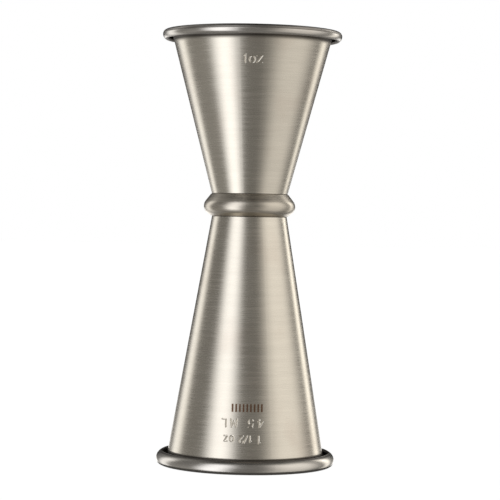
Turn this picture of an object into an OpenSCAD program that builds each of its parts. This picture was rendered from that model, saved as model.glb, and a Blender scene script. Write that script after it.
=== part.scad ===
// Double-cone bar jigger: two drawn steel cups joined floor to floor, with a hollow ring round the waist.
// The origin is at the middle of the plane that the lower rim stands on, and +Z points up.

/* [Cups] */
// Thickness of the sheet that both cups are drawn from
sheet_t = 0.8; // [0.7:0.05:0.9]
// Outer radius of both walls, carried on down to the plane where the floors meet
waist_r = 9.1; // [8.5:0.1:9.8]
// Outer radius of the bend between a floor and its wall
floor_bend_r = 1.6; // [1.2:0.1:2]
// Larger radius of the bend that turns a wall outwards into its rim
mouth_r = 1.3; // [1.2:0.05:1.4]

/* [Upper cup] */
// Height of the upper rim above the plane where the floors meet
upper_h = 44.5; // [40:0.5:50]
// Outer radius of the upper rim
upper_rim_r = 23.1; // [21:0.1:25]
// Width of the flat on the upper rim's crest
upper_land_w = 0.9; // [0.7:0.05:1]
// Outer radius of the quarter turn from the upper rim's flat to its widest place
upper_curl_r = 1.1; // [1.05:0.05:1.2]
// Outer radius of the roll from there to the cut edge
upper_roll_r = 1.6; // [1.5:0.05:1.8]
// Angle that the upper rim's roll turns through
upper_roll_turn = 62; // [50:1:80]

/* [Lower cup] */
// Height of the plane where the floors meet above the lower rim
lower_h = 67.4; // [60:0.5:75]
// Outer radius of the lower rim
lower_rim_r = 23.05; // [21:0.05:25]
// Width of the flat on the lower rim's crest
lower_land_w = 0.8; // [0.6:0.05:0.9]
// Outer radius of the quarter turn from the lower rim's flat to its widest place
lower_curl_r = 1.4; // [1.3:0.05:1.5]
// Outer radius of the roll from there to the cut edge
lower_roll_r = 2.3; // [2.1:0.05:2.4]
// Angle that the lower rim's roll turns through
lower_roll_turn = 70; // [60:1:80]

/* [Waist ring] */
// Height of the ring
ring_h = 5.7; // [5.6:0.1:7]
// Outer radius of the ring at its crest
ring_r = 11.8; // [11.6:0.1:12.4]
// Thickness of the sheet that the ring is rolled from
ring_t = 0.8; // [0.6:0.05:0.9]
// Radius of the rounding over the crest
crest_r = 2.3; // [2:0.1:2.4]
// Depth of the ring's middle below the plane where the floors meet
ring_drop = 0.35; // [0:0.05:0.4]
// Depth of the crest below the ring's middle
crest_drop = 0.3; // [0:0.05:0.3]
// Width of each edge of the ring that stands proud of the cup it seats on
edge_w = 0.2; // [0.1:0.05:0.3]

/* [Welds] */
// Number of spot welds between the two floors
weld_count = 3; // [2:1:5]
// Radius of the circle that the welds are set out on
weld_circle_r = 4; // [3:0.5:5]
// Radius of one weld nugget
weld_r = 1.6; // [1:0.1:1.7]
// Depth that a nugget reaches into each floor
weld_depth = 0.4; // [0.3:0.05:0.5]

/* [Hidden] */
$fn = 128;
UPPER = [upper_h, upper_rim_r, upper_land_w, upper_curl_r, upper_roll_r, upper_roll_turn];
LOWER = [lower_h, lower_rim_r, lower_land_w, lower_curl_r, lower_roll_r, lower_roll_turn];
// Radius of the sheet's outer face in the bend that turns it outwards into a rim
BEND_R = mouth_r - sheet_t;
// Largest turn between two neighbouring points of a round stretch
ARC_STEP = 6;

// Unit vector at an angle, and the points of an arc from one angle to another
function aim(angle) = [cos(angle), sin(angle)];
function arc(centre, r, from, to) =
    let (steps = ceil(abs(to - from) / ARC_STEP))
    [for (i = [0:steps]) centre + r * aim(from + (to - from) * i / steps)];

// A cup is worked out mouth up, with its floor's outer face on the plane z = 0, from UPPER or LOWER.
// Its rim turns outwards, runs flat across the crest, curls back and rolls on more gently to the cut edge.
function cup_h(cup) = cup[0];
function rim_r(cup) = cup[1];
function land_w(cup) = cup[2];
function curl_r(cup) = cup[3];
function roll_r(cup) = cup[4];
function roll_turn(cup) = cup[5];

// Centres of the bend that turns the wall outwards at the mouth, of the curl beyond the flat and of the roll
function mouth_c(cup) = [rim_r(cup) - curl_r(cup) - land_w(cup), cup_h(cup) - mouth_r];
function curl_c(cup) = [rim_r(cup) - curl_r(cup), cup_h(cup) - curl_r(cup)];
function roll_c(cup) = [rim_r(cup) - roll_r(cup), cup_h(cup) - curl_r(cup)];

// Lean of the wall from the vertical: it starts at waist_r and runs tangent into the bend at the mouth
function to_mouth(cup) = mouth_c(cup) - [waist_r, 0];
function lean(cup) = atan2(to_mouth(cup).x, to_mouth(cup).y) - asin(BEND_R / norm(to_mouth(cup)));
function wall_r(cup, z) = waist_r + z * tan(lean(cup));

// Centre of the bend between the floor and the wall
function floor_c(cup) = [wall_r(cup, floor_bend_r) - floor_bend_r / cos(lean(cup)), floor_bend_r];

// Places on the ring's section, in the frame whose z = 0 is the plane where the floors meet
RING_TOP = ring_h / 2 - ring_drop;
RING_FOOT = -ring_h / 2 - ring_drop;
CREST_C = [ring_r - crest_r, -ring_drop - crest_drop];
UPPER_EDGE = [wall_r(UPPER, RING_TOP) + edge_w, RING_TOP];
LOWER_EDGE = [wall_r(LOWER, -RING_FOOT) + edge_w, RING_FOOT];
UPPER_FLANK = flank_angle(UPPER_EDGE, 1);
LOWER_FLANK = flank_angle(LOWER_EDGE, -1);
// Direction of the normal of the straight flank that runs from an edge to the rounded crest
function flank_angle(edge, side) =
    atan2(edge.y - CREST_C.y, edge.x - CREST_C.x) - side * acos(crest_r / norm(edge - CREST_C));

// Radius of the two caps that a lens-shaped weld nugget is bounded by
WELD_CAP_R = (pow(weld_r, 2) + pow(weld_depth, 2)) / (2 * weld_depth);

// Section of a whole cup, all of one sheet: the outer face from the floor to the cut edge, then the inner
// face back to the floor. Each curl stops a step short of the roll, which starts at the place they share.
module cup_section(cup) {
    polygon([
        [0, 0],
        each arc(floor_c(cup), floor_bend_r, -90, -lean(cup)),
        each arc(mouth_c(cup), BEND_R, 180 - lean(cup), 90),
        each arc(curl_c(cup), curl_r(cup) - sheet_t, 90, ARC_STEP),
        each arc(roll_c(cup), roll_r(cup) - sheet_t, 0, -roll_turn(cup)),
        each arc(roll_c(cup), roll_r(cup), -roll_turn(cup), 0),
        each arc(curl_c(cup), curl_r(cup), ARC_STEP, 90),
        each arc(mouth_c(cup), mouth_r, 90, 180 - lean(cup)),
        each arc(floor_c(cup), floor_bend_r - sheet_t, -lean(cup), -90),
        [0, sheet_t]
    ]);
}

// A drawn cup, with the pockets that the weld nuggets fill in the outer face of its floor
module drawn_cup(cup) {
    difference() {
        rotate_extrude()
            cup_section(cup);
        nuggets();
    }
}

// Section of the ring before its edges are cut to the walls: out over the crest, then back under it
module ring_section() {
    polygon([
        [waist_r, RING_TOP],
        UPPER_EDGE,
        each arc(CREST_C, crest_r, UPPER_FLANK, LOWER_FLANK),
        LOWER_EDGE,
        [waist_r, RING_FOOT],
        LOWER_EDGE - ring_t * aim(LOWER_FLANK),
        each arc(CREST_C, crest_r - ring_t, LOWER_FLANK, UPPER_FLANK),
        UPPER_EDGE - ring_t * aim(UPPER_FLANK)
    ]);
}

// Everything inside the two walls' outer faces, further up and down than the ring reaches
module waist_section() {
    polygon([
        [0, ring_h],
        [wall_r(UPPER, ring_h), ring_h],
        [waist_r, 0],
        [wall_r(LOWER, ring_h), -ring_h],
        [0, -ring_h]
    ]);
}

// Spot welds set out round the axis, centred on the plane z = 0
module nuggets() {
    for (i = [0:weld_count - 1])
        rotate(360 * i / weld_count)
            translate([weld_circle_r, 0, 0])
                intersection() {
                    translate([0, 0, WELD_CAP_R - weld_depth])
                        sphere(WELD_CAP_R);
                    translate([0, 0, weld_depth - WELD_CAP_R])
                        sphere(WELD_CAP_R);
                }
}

// The smaller cup, mouth up
module upper_cup() {
    color("silver")
        translate([0, 0, lower_h])
            drawn_cup(UPPER);
}

// The larger cup, mouth down
module lower_cup() {
    color("silver")
        translate([0, 0, lower_h])
            mirror([0, 0, 1])
                drawn_cup(LOWER);
}

// The hollow ring, seated by its two edges on the two cups' walls
module waist_ring() {
    color("darkgray")
        translate([0, 0, lower_h])
            rotate_extrude()
                difference() {
                    ring_section();
                    waist_section();
                }
}

// The spot welds that hold the two floors back to back
module weld_nuggets() {
    color("slategray")
        translate([0, 0, lower_h])
            nuggets();
}

upper_cup();
lower_cup();
waist_ring();
weld_nuggets();
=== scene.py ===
"""Bar jigger: the finished look of a double-cone steel measure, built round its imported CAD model.

Every length is in metres, in the CAD model's own frame. The axis of the jigger is Z, and azimuth is
measured round it in radians, from -Y, where the fill marks are, towards +X.
"""

import math

import bpy
import numpy as np
from mathutils import Matrix, Vector


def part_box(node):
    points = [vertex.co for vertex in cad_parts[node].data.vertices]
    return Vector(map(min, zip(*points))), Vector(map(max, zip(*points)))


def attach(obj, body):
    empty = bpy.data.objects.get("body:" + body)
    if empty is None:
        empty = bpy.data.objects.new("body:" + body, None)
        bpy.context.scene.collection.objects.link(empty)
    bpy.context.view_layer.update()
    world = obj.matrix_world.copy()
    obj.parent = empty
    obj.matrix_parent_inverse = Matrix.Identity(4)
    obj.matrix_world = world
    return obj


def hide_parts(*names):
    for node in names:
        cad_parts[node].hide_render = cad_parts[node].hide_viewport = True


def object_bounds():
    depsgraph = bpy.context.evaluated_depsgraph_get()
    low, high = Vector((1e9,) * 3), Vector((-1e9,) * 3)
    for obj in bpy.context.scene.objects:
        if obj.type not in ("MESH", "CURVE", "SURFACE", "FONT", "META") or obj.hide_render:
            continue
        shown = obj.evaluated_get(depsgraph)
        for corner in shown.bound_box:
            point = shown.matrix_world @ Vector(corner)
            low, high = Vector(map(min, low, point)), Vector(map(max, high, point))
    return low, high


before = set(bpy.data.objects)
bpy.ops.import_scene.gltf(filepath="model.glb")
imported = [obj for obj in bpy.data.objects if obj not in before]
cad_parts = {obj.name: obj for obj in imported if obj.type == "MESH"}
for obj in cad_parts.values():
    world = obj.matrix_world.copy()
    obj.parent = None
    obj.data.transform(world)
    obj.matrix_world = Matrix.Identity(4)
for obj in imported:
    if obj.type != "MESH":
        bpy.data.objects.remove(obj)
CAD_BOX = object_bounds()

MM = 0.001

# Sheet metal, as drawn
SHEET = 0.8 * MM
WAIST_R = 9.1 * MM
FLOOR_BEND_R = 1.6 * MM
MOUTH_R = 1.3 * MM
BEND_R = MOUTH_R - SHEET
CUT_EDGE_R = 0.15 * MM
# How near a face of the sheet a point counts as lying on it
ON_FACE = SHEET / 4

# Ring round the waist
RING_SHEET = 0.8 * MM
CREST_R = 2.3 * MM
CREST_DROP = 0.3 * MM
EDGE_W = 0.2 * MM
EDGE_ROUND_R = 0.12 * MM

# Spot welds between the two floors
WELD_COUNT = 3
WELD_CIRCLE_R = 4 * MM
WELD_R = 1.6 * MM
WELD_DEPTH = 0.4 * MM
DIMPLE_R = 1.9 * MM
DIMPLE_DEPTH = 0.09 * MM

# Fineness of the meshes
ARC_STEP = math.radians(8)
COLUMN_STEP = math.radians(3)
MARK_STEP = 0.07 * MM
FLOOR_STEP = 0.4 * MM
SHADE_STEP = 0.12 * MM
SEAM_STEP = 0.05 * MM
SUPPORT = 0.3 * MM
# Half the angle of the ring's front, where its columns are twice as close
RING_FRONT = 0.1


# ---------------------------------------------------------------- outlines


def aim(angle):
    return np.array([math.cos(angle), math.sin(angle)])


def arc(centre, radius, start, end):
    """Points along an arc, as (r, z) pairs."""
    steps = max(2, math.ceil(abs(end - start) / ARC_STEP))
    return [centre + radius * aim(start + (end - start) * i / steps) for i in range(steps + 1)]


def spaced(start, end, step):
    """Numbers from start to end, no further apart than step."""
    return list(np.linspace(start, end, math.ceil(abs(end - start) / step) + 1))


class Cup:
    """Section of one drawn cup, mouth up, with its floor's outer face at height 0.

    The rim runs flat across land_w, curls back round curl_r to its widest place, and rolls on more gently
    round roll_r to the cut edge. shade is how far painted shadow reaches along the wall from under the rim,
    and lap how far painted shade reaches over the outside of the roll.
    """

    def __init__(self, node, land_w, curl_r, roll_r, roll_turn, shade, lap):
        low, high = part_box(node)
        self.height = high.z - low.z
        self.shade = shade
        self.lap = lap
        self.curl_r = curl_r
        self.roll_r = roll_r
        self.roll_end = -math.radians(roll_turn)
        self.curl = np.array([high.x, self.height]) - curl_r
        self.roll = np.array([high.x - roll_r, self.curl[1]])
        self.mouth = np.array([self.curl[0] - land_w, self.height - MOUTH_R])
        reach = self.mouth - [WAIST_R, 0]
        self.lean = math.atan2(*reach) - math.asin(BEND_R / np.linalg.norm(reach))
        self.normal = aim(-self.lean)
        foot_r = self.wall_r(FLOOR_BEND_R) - FLOOR_BEND_R / math.cos(self.lean)
        self.foot = np.array([foot_r, FLOOR_BEND_R])
        self.wall_top = self.mouth[1] - BEND_R * self.normal[1] - SUPPORT

    def wall_r(self, z):
        """Radius of the wall's outer face at a height."""
        return WAIST_R + z * math.tan(self.lean)

    def rim_foot(self):
        """Height of the cut edge's outer corner."""
        return self.roll[1] + self.roll_r * math.sin(self.roll_end)

    def cut_edge(self):
        """The sheet's cut edge at the end of the roll, rounded at both corners."""
        edge = self.roll_end - math.pi / 2
        inner = self.roll + (self.roll_r - SHEET + CUT_EDGE_R) * aim(self.roll_end) - CUT_EDGE_R * aim(edge)
        outer = self.roll + (self.roll_r - CUT_EDGE_R) * aim(self.roll_end) - CUT_EDGE_R * aim(edge)
        inner_corner = arc(inner, CUT_EDGE_R, edge - math.pi / 2, edge)
        return inner_corner + arc(outer, CUT_EDGE_R, edge, edge + math.pi / 2)

    def outline(self, wall_heights):
        """From the middle of the floor's outer face, out round the rim, to the middle of its inner face."""
        side = math.pi - self.lean
        down = -math.pi / 2
        up = math.pi / 2
        floor = spaced(0, self.foot[0] - SUPPORT, FLOOR_STEP)
        points = [np.array([r, 0.0]) for r in floor]
        points += arc(self.foot, FLOOR_BEND_R, down, -self.lean)
        points += [np.array([self.wall_r(z), z]) for z in wall_heights]
        points += arc(self.mouth, BEND_R, side, up)
        trim = CUT_EDGE_R / self.roll_r
        points += arc(self.curl, self.curl_r - SHEET, up, 0)[:-1]
        points += arc(self.roll, self.roll_r - SHEET, 0, self.roll_end + trim)
        points += self.cut_edge()
        points += arc(self.roll, self.roll_r, self.roll_end + trim, 0)[:-1]
        points += arc(self.curl, self.curl_r, 0, up)
        points += arc(self.mouth, MOUTH_R, up, side)
        inner_top = points[-1]
        inner_foot = self.foot + (FLOOR_BEND_R - SHEET) * self.normal
        along = (inner_foot - inner_top) / np.linalg.norm(inner_foot - inner_top)
        points += [inner_top + SUPPORT * along, inner_foot - SUPPORT * along]
        points += arc(self.foot, FLOOR_BEND_R - SHEET, -self.lean, down)
        points += [np.array([r, SHEET]) for r in floor[::-1]]
        return np.array(points)


class Ring:
    """Section of the hollow ring.

    Heights are above the join, and side is 1 for its upper edge and -1 for its lower.
    """

    def __init__(self, node, upper, lower):
        low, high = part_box(node)
        self.ends = {1: high.z - JOIN_Z, -1: low.z - JOIN_Z}
        self.crest = np.array([high.x - CREST_R, sum(self.ends.values()) / 2 - CREST_DROP])
        self.walls = {1: upper, -1: lower}

    def seam(self, side):
        """Where an edge meets its cup's wall, from the middle of the cup's floor towards its mouth."""
        z = side * self.ends[side]
        return np.array([self.walls[side].wall_r(z), z])

    def edge(self, side):
        """Outer corner of an edge."""
        return self.seam(side) * [1, side] + [EDGE_W, 0]

    def flank(self, side):
        """Direction of the normal of the straight flank between an edge and the rounded crest."""
        reach = self.edge(side) - self.crest
        return math.atan2(reach[1], reach[0]) - side * math.acos(CREST_R / np.linalg.norm(reach))

    def inner_end(self, side):
        """Where the inside of a flank meets the cup's wall."""
        start = self.edge(side) - RING_SHEET * aim(self.flank(side))
        along = aim(self.flank(side) + math.pi / 2)
        slope = side * math.tan(self.walls[side].lean)
        return start + along * (WAIST_R + slope * start[1] - start[0]) / (along[0] - slope * along[1])

    def rounded_edge(self, side):
        """An edge's flat end and its rounded outer corner, from the wall outwards."""
        turn = (self.flank(side) + side * math.pi / 2) / 2
        centre = self.edge(side) - EDGE_ROUND_R * aim(turn) / math.cos(turn - self.flank(side))
        corner = arc(centre, EDGE_ROUND_R, side * math.pi / 2, self.flank(side))
        return [self.edge(side) - [EDGE_W, 0]] + corner

    def outline(self):
        """Closed outline, out over the crest and back under it."""
        points = self.rounded_edge(1)
        points += arc(self.crest, CREST_R, self.flank(1), self.flank(-1))
        points += self.rounded_edge(-1)[::-1]
        points += [self.inner_end(-1)]
        points += arc(self.crest, CREST_R - RING_SHEET, self.flank(-1), self.flank(1))
        points += [self.inner_end(1)]
        return np.array(points)[::-1]


JOIN_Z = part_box("upper_cup")[0].z
UPPER = Cup("upper_cup", 0.9 * MM, 1.1 * MM, 1.6 * MM, 62, 1.1 * MM, 0.3 * MM)
LOWER = Cup("lower_cup", 0.8 * MM, 1.4 * MM, 2.3 * MM, 70, 0.3 * MM, 0.6 * MM)
RING = Ring("waist_ring", UPPER, LOWER)


# ---------------------------------------------------------------- meshes


def columns(fine_half_angle, fine_step):
    """Azimuths round the axis, close together within fine_half_angle of the front."""
    coarse = 2 * (math.pi - fine_half_angle)
    fine_count = math.ceil(2 * fine_half_angle / fine_step)
    coarse_count = math.ceil(coarse / COLUMN_STEP)
    fine = np.linspace(-fine_half_angle, fine_half_angle, fine_count + 1)
    rest = fine_half_angle + coarse * np.arange(1, coarse_count) / coarse_count
    return np.concatenate([fine, rest])


def revolved(name, outline, azimuths, closed=False):
    """Mesh object swept from (r, z) points, with the metal on the left of the outline's direction.

    An outline that isn't closed starts and ends on the axis, and each end becomes one point.
    """
    ring = outline if closed else outline[1:-1]
    rows, cols = len(ring), len(azimuths)
    co = np.zeros((rows, cols, 3))
    co[:, :, 0] = ring[:, :1] * np.sin(azimuths)
    co[:, :, 1] = -ring[:, :1] * np.cos(azimuths)
    co[:, :, 2] = ring[:, 1:]
    points = [tuple(p) for p in co.reshape(-1, 3)]
    faces = []
    last = rows if closed else rows - 1
    for i in range(last):
        k = (i + 1) % rows
        for j in range(cols):
            n = (j + 1) % cols
            faces.append((i * cols + j, i * cols + n, k * cols + n, k * cols + j))
    if not closed:
        points += [(0, 0, outline[0][1]), (0, 0, outline[-1][1])]
        first, end = rows * cols, rows * cols + 1
        top = (rows - 1) * cols
        for j in range(cols):
            n = (j + 1) % cols
            faces.append((first, n, j))
            faces.append((end, top + j, top + n))
    mesh = bpy.data.meshes.new(name)
    mesh.from_pydata(points, [], faces)
    mesh.shade_smooth()
    mesh.update()
    piece = bpy.data.objects.new(name, mesh)
    bpy.context.scene.collection.objects.link(piece)
    return piece


def points_of(piece, kind="co"):
    """A mesh's vertex places, or its normals, as an array with a row for each vertex."""
    values = np.zeros(len(piece.data.vertices) * 3)
    piece.data.vertices.foreach_get(kind, values)
    return values.reshape(-1, 3)


def place_points(piece, co):
    piece.data.vertices.foreach_set("co", co.ravel())
    piece.data.update()


def paint(piece, name, values):
    """Stores a number from 0 to 1 for each vertex, for the materials to read."""
    layer = piece.data.attributes.new(name, "FLOAT", "POINT")
    layer.data.foreach_set("value", np.clip(values, 0, 1).astype(np.float32))


# ---------------------------------------------------------------- stamped marks


def bow(x, y, rx, ry, start, end, steps=14):
    """Points along a stretch of an ellipse, with angles in degrees."""
    turns = np.radians(np.linspace(start, end, steps + 1))
    return [(x + rx * math.cos(t), y + ry * math.sin(t)) for t in turns]


# Single-line characters as strokes, with their width first. Each is one unit tall.
GLYPHS = {
    "1": (0.2, [[(0.03, 0.84), (0.2, 1.0), (0.2, 0.0)]]),
    "2": (0.56, [bow(0.28, 0.7, 0.27, 0.3, 165, -38) + [(0.0, 0.0), (0.56, 0.0)]]),
    "4": (0.68, [[(0.5, 0.0), (0.5, 1.0), (0.0, 0.28), (0.68, 0.28)]]),
    "5": (0.6, [[(0.58, 1.0), (0.1, 1.0), (0.05, 0.58)] + bow(0.28, 0.32, 0.32, 0.32, 112, -150)]),
    "/": (0.46, [[(0.0, 0.0), (0.46, 1.0)]]),
    "O": (0.76, [bow(0.38, 0.5, 0.38, 0.5, 0, 360, 28)]),
    "Z": (0.64, [[(0.0, 1.0), (0.64, 1.0), (0.0, 0.0), (0.64, 0.0)]]),
    "M": (0.8, [[(0.0, 0.0), (0.08, 1.0), (0.4, 0.25), (0.72, 1.0), (0.8, 0.0)]]),
    "L": (0.5, [[(0.0, 1.0), (0.0, 0.0), (0.5, 0.0)]]),
    "o": (0.93, [bow(0.465, 0.5, 0.465, 0.5, 0, 360, 28)]),
    "z": (0.78, [[(0.0, 1.0), (0.78, 1.0), (0.0, 0.0), (0.78, 0.0)]]),
}


def strokes(words):
    """Line segments of a mark, centred on 0, from (text, letter height, gap before, gap between letters)."""
    lines = []
    pen = 0.0
    for text, size, lead, gap in words:
        pen += lead
        for letter in text:
            width, paths = GLYPHS[letter]
            for path in paths:
                at = np.array(path) * size + [pen, 0]
                lines += list(zip(at[:-1], at[1:]))
            pen += width * size + gap
        pen -= gap
    return np.array(lines) - [pen / 2, 0]


def distance_to(lines, u, v):
    """Distance from each point (u, v) to the nearest of some line segments."""
    best = np.full(u.shape, np.inf)
    p = np.stack([u, v], axis=-1)
    for a, b in lines:
        ab = b - a
        t = np.clip(((p - a) @ ab) / (ab @ ab), 0, 1)
        best = np.minimum(best, np.linalg.norm(p - a - t[..., None] * ab, axis=-1))
    return best


class Mark:
    """A stamped line of characters on a cup's wall. turned marks read with the jigger upside down.

    words are as in strokes(), across is how far round the wall from the front the middle of the line is, and
    base_z is the height that the characters stand on.
    """

    def __init__(self, words, across, base_z, turned=False):
        self.lines = strokes(words)
        self.across = across
        self.base_z = base_z
        self.tall = max(size for _, size, _, _ in words)
        self.turned = turned
        self.half_width = np.abs(self.lines[..., 0]).max() + abs(across) + STROKE_W

    def span(self):
        """Lowest and highest height that the mark touches."""
        ends = [self.base_z, self.base_z - self.tall if self.turned else self.base_z + self.tall]
        return min(ends) - STROKE_W, max(ends) + STROKE_W

    def depth(self, u, z):
        """How far the wall is pressed in at distance u round the wall and height z."""
        x, y = u - self.across, z - self.base_z
        if self.turned:
            x, y = -x, -y
        d = distance_to(self.lines, x, y) / (STROKE_W / 2)
        return STROKE_DEPTH * np.clip(1 - d**2, 0, None)


class Ticks:
    """A row of short upright bars burnt brown by a laser, with no depth. width is the whole row's."""

    def __init__(self, count, width, across, low, high):
        self.count = count
        self.width = width
        self.across = across
        self.low = low
        self.high = high

    def shade(self, u, z):
        """1 on a bar and 0 off it, at distance u round the wall and height z."""
        pitch = self.width / self.count
        along = (u - self.across) / pitch + self.count / 2
        off = np.abs(along - np.floor(along) - 0.5) * pitch
        bar = np.clip((BAR_W / 2 - off) / MARK_STEP + 0.5, 0, 1)
        inside = (along > 0) & (along < self.count) & (z >= self.low) & (z <= self.high)
        return bar * inside


STROKE_W = 0.34 * MM
STROKE_DEPTH = 0.14 * MM
BAR_W = 0.45 * MM
# Half the angle of the front that may carry marks, and the least outward part of a normal there
FRONT_HALF = math.pi / 4
OUTWARD = 0.5
UPPER_MARKS = [
    Mark(
        [
            ("1", 2.0 * MM, 0, 0),
            ("o", 1.55 * MM, 1.03 * MM, 0),
            ("z", 1.6 * MM, 0.56 * MM, 0),
        ],
        0.21 * MM,
        102.6 * MM,
    ),
]
LOWER_MARKS = [
    Mark(
        [
            ("1", 1.85 * MM, 0, 0),
            ("1", 1.45 * MM, 1.93 * MM, 0),
            ("/", 1.65 * MM, 0.7 * MM, 0),
            ("2", 1.65 * MM, 0.28 * MM, 0),
            ("O", 1.35 * MM, 1.37 * MM, 0),
            ("Z", 1.3 * MM, 0.62 * MM, 0),
        ],
        -0.77 * MM,
        9.4 * MM,
        turned=True,
    ),
    Mark(
        [
            ("45", 1.9 * MM, 0, 1.3 * MM),
            ("ML", 1.9 * MM, 2.9 * MM, 1.3 * MM),
        ],
        -0.7 * MM,
        13.5 * MM,
        turned=True,
    ),
]
LOWER_TICKS = Ticks(9, 8.3 * MM, 0.37 * MM, 15.3 * MM, 17.3 * MM)


def wall_rows(cup, side, spans):
    """Heights of the wall's rows: close together across each mark, by the ring's edge and under the rim."""
    seam_z = RING.seam(side)[1]
    heights = [cup.foot[1] + FLOOR_BEND_R * cup.normal[1] + SUPPORT]
    heights += spaced(seam_z - SEAM_SHADE_AND_GRIME, seam_z + SEAM_SHADE_AND_GRIME, SEAM_STEP)
    for low, high in sorted(spans):
        heights += [low - SUPPORT]
        heights += spaced(low, high, MARK_STEP)
        heights += [high + SUPPORT]
    return heights + spaced(cup.rim_foot() - cup.shade, cup.wall_top, SHADE_STEP)


def front_wall(piece):
    """Each vertex's distance round a revolved cup, and True for those on the front of its outer wall."""
    co = points_of(piece)
    normals = points_of(piece, "normal")
    radius = np.hypot(co[:, 0], co[:, 1])
    outward = (normals[:, 0] * co[:, 0] + normals[:, 1] * co[:, 1]) > OUTWARD * radius
    azimuth = np.arctan2(co[:, 0], -co[:, 1])
    return azimuth * radius, outward & (np.abs(azimuth) < FRONT_HALF)


def press(piece, marks):
    """Presses the marks into the outer wall of a revolved cup."""
    co = points_of(piece)
    around, front = front_wall(piece)
    sink = np.zeros(len(co))
    for mark in marks:
        low, high = mark.span()
        near = front & (co[:, 2] > low) & (co[:, 2] < high)
        sink[near] += mark.depth(around[near], co[near, 2])
    place_points(piece, co - points_of(piece, "normal") * sink[:, None])


def etch(piece, ticks):
    """Paints a row of laser-burnt bars on the outer wall of a revolved cup."""
    around, front = front_wall(piece)
    paint(piece, "etch", ticks.shade(around, points_of(piece)[:, 2]) * front)


# ---------------------------------------------------------------- welds, painted shade and dirt


def weld_marks(piece, side):
    """Presses the spot welds into a cup's floor: a pocket for each nugget outside, a shallow dimple inside.

    side is 1 for the upper cup, whose floor lies above the join, and -1 for the lower one.
    """
    co = points_of(piece)
    cap_r = (WELD_R**2 + WELD_DEPTH**2) / (2 * WELD_DEPTH)
    outer = np.abs(co[:, 2] - JOIN_Z) < ON_FACE
    inner = np.abs(co[:, 2] - JOIN_Z - side * SHEET) < ON_FACE
    for i in range(WELD_COUNT):
        turn = 2 * math.pi * i / WELD_COUNT
        d = np.hypot(co[:, 0] - WELD_CIRCLE_R * math.cos(turn), co[:, 1] - WELD_CIRCLE_R * math.sin(turn))
        pocket = np.sqrt(np.clip(cap_r**2 - d**2, 0, None)) - (cap_r - WELD_DEPTH)
        co[outer, 2] += side * np.clip(pocket, 0, None)[outer]
        dimple = DIMPLE_DEPTH * np.clip(1 - (d / DIMPLE_R) ** 2, 0, None) ** 2
        co[inner, 2] -= side * dimple[inner]
    place_points(piece, co)


# How far painted shade and dirt spread from the ring's seams, and how far painted shade reaches over the
# ring from the lower one
SEAM_SHADE_AND_GRIME = 0.2 * MM
FLANK_REACH = 1.3 * MM
# Depths into a rim's sheet, from its hollow side, between which the painted shade in the hollow ends
HOLLOW_SHADE = (0.75 * SHEET, 0.98 * SHEET)
# How dark the painted shade gets on the wall and the roll by a rim's cut edge, and on the ring above its
# lower seam
WALL_SHADE = 0.95
FLANK_SHADE = 0.35


def fade(distance, start, end):
    """1 up to start, 0 from end on, and smooth between them."""
    t = np.clip((end - distance) / (end - start), 0, 1)
    return t * t * (3 - 2 * t)


def shade_and_grime(piece):
    """Paints shade where it falls: deep in the hollow of each rim, on the wall and the roll beside its cut
    edge, and over the ring's lower flank. Along the ring's seams it paints shade and dirt together.
    """
    co = points_of(piece)
    radius = np.hypot(co[:, 0], co[:, 1])
    shade_and_dirt = np.zeros(len(co))
    for side, cup in ((1, UPPER), (-1, LOWER)):
        z = side * (co[:, 2] - JOIN_Z)
        # Painted shade deep in the hollow of each rim
        flat_core = (cup.mouth, np.array([cup.curl[0], cup.mouth[1]]))
        under_flat = distance_to([flat_core], radius, z) - BEND_R
        under_roll = np.hypot(radius - cup.roll[0], z - cup.roll[1]) - (cup.roll_r - SHEET)
        hollow = np.where(z < cup.roll[1], under_roll, under_flat)
        shade_and_dirt = np.maximum(shade_and_dirt, fade(hollow, *HOLLOW_SHADE))
        # Painted shadow on the wall under the rim's cut edge
        on_wall = np.abs(radius - cup.wall_r(z)) < ON_FACE
        below_rim = cup.rim_foot() - z
        shade_and_dirt = np.maximum(shade_and_dirt, WALL_SHADE * on_wall * fade(below_rim, 0, cup.shade))
        # Painted shade over the outside of the roll beside the cut edge
        on_roll = (radius > cup.roll[0]) & (z > 0) & (z < cup.roll[1])
        shade_and_dirt = np.maximum(shade_and_dirt, WALL_SHADE * on_roll * fade(-below_rim, 0, cup.lap))
        # Painted shade, with dirt, in the crease along the ring's seam
        seam = np.hypot(radius - RING.seam(side)[0], z - RING.seam(side)[1])
        shade_and_dirt = np.maximum(shade_and_dirt, fade(seam, SEAM_SHADE_AND_GRIME / 2, SEAM_SHADE_AND_GRIME))
        # Painted shade over the ring's lower flank
        on_ring = radius > cup.wall_r(z) + ON_FACE
        shade_and_dirt = np.maximum(shade_and_dirt, FLANK_SHADE * (side < 0) * on_ring * fade(seam, SEAM_SHADE_AND_GRIME, FLANK_REACH))
    paint(piece, "shade_and_grime", shade_and_dirt)


# ---------------------------------------------------------------- pieces


def on_bead(cup, radius, z):
    """True for places on the rolled bead, from where the wall bends into it."""
    along = (radius - cup.mouth[0]) * math.sin(cup.lean) + (z - cup.mouth[1]) * math.cos(cup.lean)
    return (along > 0) | (radius > cup.mouth[0])


def rim_faces(piece, cup, side):
    """Gives the faces of a cup's rolled bead the piece's second material."""
    count = len(piece.data.polygons)
    centres = np.zeros(count * 3)
    piece.data.polygons.foreach_get("center", centres)
    centres = centres.reshape(-1, 3)
    bead = on_bead(cup, np.hypot(centres[:, 0], centres[:, 1]), side * (centres[:, 2] - JOIN_Z))
    piece.data.polygons.foreach_set("material_index", bead.astype(np.int32))


def carried(piece, node, slot, *materials):
    """Puts a finished piece in place of a CAD node."""
    for material in materials:
        piece.data.materials.append(material)
    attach(piece, "root")
    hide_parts(node)


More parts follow.
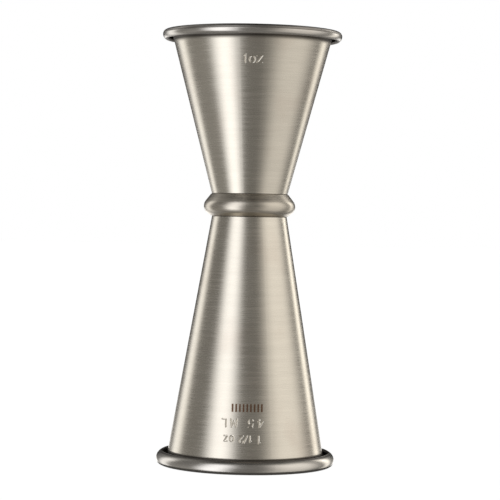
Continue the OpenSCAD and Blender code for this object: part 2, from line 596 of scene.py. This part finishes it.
def upper_cup(wall_steel, rim_steel):
    spans = [tuple(np.array(mark.span()) - JOIN_Z) for mark in UPPER_MARKS]
    outline = UPPER.outline(wall_rows(UPPER, 1, spans)) + [0, JOIN_Z]
    half = max(mark.half_width for mark in UPPER_MARKS) / UPPER.wall_r(min(spans)[0])
    piece = revolved("upper_cup_finished", outline, columns(half, MARK_STEP / UPPER.mouth[0]))
    press(piece, UPPER_MARKS)
    weld_marks(piece, 1)
    shade_and_grime(piece)
    carried(piece, "upper_cup", "cup_steel", wall_steel, rim_steel)
    rim_faces(piece, UPPER, 1)


def lower_cup(wall_steel, rim_steel):
    tick_span = (LOWER_TICKS.low, LOWER_TICKS.high)
    spans = [tuple(JOIN_Z - np.array(mark.span())[::-1]) for mark in LOWER_MARKS]
    rows = wall_rows(LOWER, -1, spans)
    for z in tick_span:
        rows += [JOIN_Z - z - MARK_STEP, JOIN_Z - z + MARK_STEP]
    outline = LOWER.outline(sorted(rows))[::-1] * [1, -1] + [0, JOIN_Z]
    half = max(mark.half_width for mark in LOWER_MARKS) / LOWER.wall_r(min(spans)[0])
    piece = revolved("lower_cup_finished", outline, columns(half, MARK_STEP / LOWER.mouth[0]))
    etch(piece, LOWER_TICKS)
    press(piece, LOWER_MARKS)
    weld_marks(piece, -1)
    shade_and_grime(piece)
    carried(piece, "lower_cup", "cup_steel", wall_steel, rim_steel)
    rim_faces(piece, LOWER, -1)


def waist_ring(material):
    outline = RING.outline() + [0, JOIN_Z]
    piece = revolved("waist_ring_finished", outline, columns(RING_FRONT, COLUMN_STEP / 2), closed=True)
    shade_and_grime(piece)
    carried(piece, "waist_ring", "ring_steel", material)


# ---------------------------------------------------------------- materials


class Graph:
    """Short calls that make nodes in one node tree and join them."""

    def __init__(self, tree):
        self.nodes = tree.nodes
        self.links = tree.links

    def plug(self, socket, value):
        if isinstance(value, bpy.types.NodeSocket):
            self.links.new(value, socket)
        else:
            socket.default_value = value

    def math(self, operation, *values):
        node = self.nodes.new("ShaderNodeMath")
        node.operation = operation
        for socket, value in zip(node.inputs, values):
            self.plug(socket, value)
        return node.outputs[0]

    def vector(self, operation, a, b):
        """Vector maths. For SCALE, b is a number."""
        node = self.nodes.new("ShaderNodeVectorMath")
        node.operation = operation
        self.plug(node.inputs[0], a)
        self.plug(node.inputs["Scale"] if operation == "SCALE" else node.inputs[1], b)
        return node.outputs[0]

    def ramp(self, value, from_min, from_max, to_min, to_max):
        """Smooth change from to_min to to_max as value goes from from_min to from_max."""
        node = self.nodes.new("ShaderNodeMapRange")
        node.interpolation_type = "SMOOTHSTEP"
        ends = {"From Min": from_min, "From Max": from_max, "To Min": to_min, "To Max": to_max}
        for key, number in ends.items():
            self.plug(node.inputs[key], number)
        self.plug(node.inputs["Value"], value)
        return node.outputs["Result"]

    def mix(self, amount, a, b):
        """A colour between a and b."""
        node = self.nodes.new("ShaderNodeMix")
        node.data_type = "RGBA"
        colours = [socket for socket in node.inputs if socket.type == "RGBA"]
        self.plug(node.inputs["Factor"], amount)
        for socket, value in zip(colours, (a, b)):
            self.plug(socket, value)
        return next(socket for socket in node.outputs if socket.type == "RGBA")

    def noise(self, across, along, detail):
        """Noise about 0.5, with across features to the metre sideways and along to the metre upwards."""
        place = self.nodes.new("ShaderNodeTexCoord")
        scale = self.nodes.new("ShaderNodeMapping")
        scale.inputs["Scale"].default_value = (across, across, along)
        noise = self.nodes.new("ShaderNodeTexNoise")
        noise.inputs["Scale"].default_value = 1.0
        noise.inputs["Detail"].default_value = detail
        self.links.new(place.outputs["Object"], scale.inputs["Vector"])
        self.links.new(scale.outputs["Vector"], noise.inputs["Vector"])
        return noise.outputs["Fac"]

    def painted(self, name):
        """What paint() stored under a name, or 0 on a mesh without it."""
        node = self.nodes.new("ShaderNodeAttribute")
        node.attribute_name = name
        return node.outputs["Fac"]


# Colour of the painted shade in the rims and on the ring, and of the dirt along the seams
SHADE_AND_GRIME_COLOUR = (0.03, 0.022, 0.016, 1.0)
ETCH_COLOUR = (0.2, 0.115, 0.07, 1.0)
SMUDGE_COLOUR = (0.5, 0.4, 0.32, 1.0)
# Grain of the brushing, its broader bands and the stains: what Graph.noise() takes
HAIRLINES = (160, 4600, 3.0)
BANDS = (45, 1100, 2.0)
STAINS = (90, 60, 3.0)
# Values of the noise between which the brushing changes, and between which stains appear
GRAIN_SPAN = (0.3, 0.7)
STAIN_SPAN = (0.52, 0.75)
# Share of the painted shade and dirt that is left where the brushing bands thin it most
THIN_SHADE_AND_DIRT = 0.82
ROUGH_SPREAD = 0.035
ROUGH_WITH_SHADE_AND_DIRT = 0.3
GRAIN_STRENGTH = 0.12
GRAIN_DEPTH = 0.01 * MM


def steel(name, colour, roughness, anisotropy, streak, smudge):
    """Steel brushed round the axis, with painted shade and dirt in its crevices and under its rims.

    streak is how far the brushing changes the tone, and smudge how strongly faint brownish stains show.
    """
    material = bpy.data.materials.new(name)
    material.use_nodes = True
    graph = Graph(material.node_tree)
    shader = graph.nodes["Principled BSDF"]
    shader.inputs["Metallic"].default_value = 1.0
    shader.inputs["Anisotropic"].default_value = anisotropy
    shader.inputs["Anisotropic Rotation"].default_value = 0.25
    tangent = graph.nodes.new("ShaderNodeTangent")
    tangent.direction_type = "RADIAL"
    tangent.axis = "Z"
    graph.plug(shader.inputs["Tangent"], tangent.outputs["Tangent"])

    hairlines = graph.noise(*HAIRLINES)
    bands = graph.noise(*BANDS)
    stains = graph.noise(*STAINS)
    hairline_tone = graph.ramp(hairlines, *GRAIN_SPAN, 1.0 - streak, 1.0 + streak)
    band_tone = graph.ramp(bands, *GRAIN_SPAN, 1.0 - streak / 2, 1.0 + streak / 2)
    base = graph.vector("SCALE", colour, graph.math("MULTIPLY", hairline_tone, band_tone))
    base = graph.mix(graph.ramp(stains, *STAIN_SPAN, 0.0, smudge), base, SMUDGE_COLOUR)
    # Painted shade and dirt, thinned a little by the brushing bands
    shade_and_dirt = graph.math("MULTIPLY", graph.painted("shade_and_grime"), graph.ramp(bands, *GRAIN_SPAN, THIN_SHADE_AND_DIRT, 1.0))
    base = graph.mix(shade_and_dirt, base, SHADE_AND_GRIME_COLOUR)
    burn = graph.painted("etch")
    base = graph.mix(burn, base, ETCH_COLOUR)
    graph.plug(shader.inputs["Base Color"], base)

    rough = graph.ramp(hairlines, *GRAIN_SPAN, roughness - ROUGH_SPREAD, roughness + ROUGH_SPREAD)
    darkened = graph.math("MAXIMUM", shade_and_dirt, burn)
    graph.plug(shader.inputs["Roughness"], graph.math("MULTIPLY_ADD", darkened, ROUGH_WITH_SHADE_AND_DIRT, rough))

    bump = graph.nodes.new("ShaderNodeBump")
    bump.inputs["Strength"].default_value = GRAIN_STRENGTH
    bump.inputs["Distance"].default_value = GRAIN_DEPTH
    graph.plug(bump.inputs["Height"], hairlines)
    graph.plug(shader.inputs["Normal"], bump.outputs["Normal"])
    return material


# ---------------------------------------------------------------- studio


# Tall softboxes round the jigger. Angles are in degrees, and height runs from -1, straight down, to 1,
# straight up. azimuth and brightness hold at height 0, and sway and rise are what they gain per unit of
# height. Round the jigger a box is even up to the angle even from its middle and ends at the angle edge.
# Above and below, it is even up to the first angle of tall, and almost ends at the second.
SOFTBOXES = {
    "key": {
        "azimuth": -41,
        "sway": 10,
        "even": 5,
        "edge": 33,
        "tall": (36, 66),
        "brightness": 1.6,
        "rise": -0.2,
        "colour": (0.96, 1.0, 1.09),
    },
    "fill": {
        "azimuth": 71,
        "sway": 5,
        "even": 12,
        "edge": 54,
        "tall": (36, 66),
        "brightness": 0.81,
        "rise": 0.47,
        "colour": (1.0, 0.99, 0.98),
    },
    "left_edge": {
        "azimuth": -128.5,
        "sway": 20,
        "even": 3,
        "edge": 20,
        "tall": (18, 45),
        "brightness": 1.25,
        "rise": 0.0,
        "colour": (0.98, 1.0, 1.03),
    },
    "right_edge": {
        "azimuth": 133.5,
        "sway": 0,
        "even": 2,
        "edge": 14,
        "tall": (18, 45),
        "brightness": 1.6,
        "rise": 2.0,
        "colour": (1.0, 0.99, 0.96),
    },
    "left_fill": {
        "azimuth": -96,
        "sway": 0,
        "even": 10,
        "edge": 50,
        "tall": (30, 60),
        "brightness": 0.05,
        "rise": -0.18,
        "colour": (1.0, 1.0, 1.0),
    },
}
# Share of a box's strength that is left above and below its ends
BOX_TIP = 0.06
# Heights between which the boxes sway and brighten
LEVEL_RANGE = (-0.5, 0.35)
# The tent's own light: all round, straight up and straight down, and the heights between which it changes
AMBIENT = 0.21
OVERHEAD = 0.03
OVERHEAD_SPAN = (0.75, 1.0)
FLOOR_GLOW = 0.03
FLOOR_SPAN = (-1.0, -0.55)
# Azimuths between which the tent dims behind the jigger, and a bright backdrop low down takes over
BEHIND = (math.radians(150), math.radians(166))
BEHIND_LEVEL = 0.1
BACKDROP = 1.8
BACKDROP_TOP = (-0.03, -0.12)
BACKDROP_FOOT = (-0.55, -0.35)


def studio_world():
    """Light tent: white to the camera, softboxes and dark gaps between them to everything else."""
    world = bpy.data.worlds.new("studio")
    world.use_nodes = True
    graph = Graph(world.node_tree)
    graph.nodes.clear()
    direction = graph.nodes.new("ShaderNodeTexCoord")
    axes = graph.nodes.new("ShaderNodeSeparateXYZ")
    graph.plug(axes.inputs["Vector"], direction.outputs["Generated"])
    x, y, height = axes.outputs
    azimuth = graph.math("ARCTAN2", x, graph.math("MULTIPLY", y, -1.0))
    off_level = graph.math("ABSOLUTE", height)
    near_level = graph.math("MINIMUM", graph.math("MAXIMUM", height, LEVEL_RANGE[0]), LEVEL_RANGE[1])

    behind = graph.math("ABSOLUTE", azimuth)
    round_front = graph.ramp(behind, *BEHIND, 1.0, BEHIND_LEVEL)
    level = graph.math("MULTIPLY", graph.ramp(height, *OVERHEAD_SPAN, AMBIENT, OVERHEAD), round_front)
    level = graph.math("ADD", level, graph.ramp(height, *FLOOR_SPAN, FLOOR_GLOW, 0.0))
    under_top = graph.ramp(height, *BACKDROP_TOP, 0.0, 1.0)
    low = graph.math("MULTIPLY", under_top, graph.ramp(height, *BACKDROP_FOOT, 0.0, 1.0))
    sweep = graph.math("MULTIPLY", low, graph.ramp(behind, *BEHIND, 0.0, BACKDROP))
    light = graph.vector("SCALE", (1.0, 1.0, 1.0), graph.math("ADD", level, sweep))
    for box in SOFTBOXES.values():
        sway, at, even, edge = [math.radians(box[key]) for key in ("sway", "azimuth", "even", "edge")]
        middle = graph.math("MULTIPLY_ADD", near_level, sway, at)
        off = graph.math("ABSOLUTE", graph.math("SUBTRACT", azimuth, middle))
        strength = graph.math("MULTIPLY_ADD", near_level, box["rise"], box["brightness"])
        shape = graph.ramp(off, even, edge, 1.0, 0.0)
        ends = [math.sin(math.radians(angle)) for angle in box["tall"]]
        shape = graph.math("MULTIPLY", shape, graph.ramp(off_level, *ends, 1.0, BOX_TIP))
        glow = graph.vector("SCALE", box["colour"], graph.math("MULTIPLY", shape, strength))
        light = graph.vector("ADD", light, glow)

    tent = graph.nodes.new("ShaderNodeBackground")
    graph.plug(tent.inputs["Color"], light)
    paper = graph.nodes.new("ShaderNodeBackground")
    paper.inputs["Color"].default_value = (1.0, 1.0, 1.0, 1.0)
    seen = graph.nodes.new("ShaderNodeLightPath")
    choice = graph.nodes.new("ShaderNodeMixShader")
    output = graph.nodes.new("ShaderNodeOutputWorld")
    graph.plug(choice.inputs["Fac"], seen.outputs["Is Camera Ray"])
    graph.plug(choice.inputs[1], tent.outputs["Background"])
    graph.plug(choice.inputs[2], paper.outputs["Background"])
    graph.plug(output.inputs["Surface"], choice.outputs["Shader"])
    bpy.context.scene.world = world


TABLE_HALF = 3.0
TABLE_COLOUR = (0.25, 0.25, 0.25)
TABLE_GLOW = 0.93
# The dark patch is a painted shadow under the jigger, seen only in reflections, with a faint glow. It lies
# just under the table and a little past the jigger, with a corner every few degrees
PATCH_DROP = 0.02 * MM
PATCH_OVERHANG = 0.3 * MM
SHADOW_PATCH_COLOUR = (0.01, 0.01, 0.01)
SHADOW_PATCH_GLOW = 0.08
PATCH_STEP = 6
# Focal length in millimetres, and the camera's place, downward tilt and roll
LENS = 144.2
CAMERA_AT = Vector((0.33, -517.6, 66.2)) * MM
CAMERA_DOWN = math.radians(1.186)
CAMERA_ROLL = math.radians(1.06)


def staged(name, corners, colour, glow):
    """A flat piece of the studio, plain and matt, that no scattered light reaches."""
    mesh = bpy.data.meshes.new(name)
    mesh.from_pydata(corners, [], [tuple(range(len(corners)))])
    piece = bpy.data.objects.new(name, mesh)
    bpy.context.scene.collection.objects.link(piece)
    material = bpy.data.materials.new(name)
    material.use_nodes = True
    shader = material.node_tree.nodes["Principled BSDF"]
    shader.inputs["Base Color"].default_value = (*colour, 1.0)
    shader.inputs["Roughness"].default_value = 1.0
    shader.inputs["Specular IOR Level"].default_value = 0.0
    shader.inputs["Emission Color"].default_value = (1.0, 1.0, 1.0, 1.0)
    shader.inputs["Emission Strength"].default_value = glow
    mesh.materials.append(material)
    piece.visible_diffuse = False
    return piece


def studio_floor():
    """Pale light table under the jigger, bright enough to leave only a trace of shadow.

    Reflections see through the table, but for the patch under the jigger, a painted shadow that is dark to
    them.
    """
    z = CAD_BOX[0].z
    sides = ((-1, -1), (1, -1), (1, 1), (-1, 1))
    corners = [(TABLE_HALF * x, TABLE_HALF * y, z) for x, y in sides]
    table = staged("light_table", corners, TABLE_COLOUR, TABLE_GLOW)
    table.visible_glossy = False
    turns = np.radians(np.arange(0, 360, PATCH_STEP))
    reach = CAD_BOX[1].x + PATCH_OVERHANG
    rim = [(reach * math.cos(t), reach * math.sin(t), z - PATCH_DROP) for t in turns]
    # Painted shadow: a dark sheet that only reflections see
    patch = staged("reflected_shadow_patch", rim, SHADOW_PATCH_COLOUR, SHADOW_PATCH_GLOW)
    patch.visible_camera = False
    patch.visible_shadow = False


def studio_camera():
    """Long lens a little above the jigger's middle, looking slightly down and a touch out of level."""
    data = bpy.data.cameras.new("camera")
    data.sensor_width = 36.0
    data.lens = LENS
    data.clip_start = 0.01
    camera = bpy.data.objects.new("camera", data)
    bpy.context.scene.collection.objects.link(camera)
    tilt = Matrix.Rotation(math.pi / 2 - CAMERA_DOWN, 4, "X")
    roll = Matrix.Rotation(CAMERA_ROLL, 4, "Z")
    camera.matrix_world = Matrix.Translation(CAMERA_AT) @ tilt @ roll
    bpy.context.scene.camera = camera


CUP_STEEL = steel("brushed_cup_steel", (0.66, 0.6, 0.5), 0.267, 0.3, 0.04, 0.25)
RIM_STEEL = steel("rolled_rim_steel", (0.61, 0.565, 0.5), 0.22, 0.0, 0.03, 0.1)
RING_STEEL = steel("satin_ring_steel", (0.58, 0.52, 0.43), 0.29, 0.2, 0.05, 0.2)
WELD_STEEL = steel("fused_weld_steel", (0.42, 0.4, 0.42), 0.4, 0.0, 0.05, 0.3)

upper_cup(CUP_STEEL, RIM_STEEL)
lower_cup(CUP_STEEL, RIM_STEEL)
waist_ring(RING_STEEL)
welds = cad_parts["weld_nuggets"]
welds.data.materials.clear()
welds.data.materials.append(WELD_STEEL)

studio_camera()
studio_world()
studio_floor()
bpy.context.scene.view_settings.view_transform = "Standard"
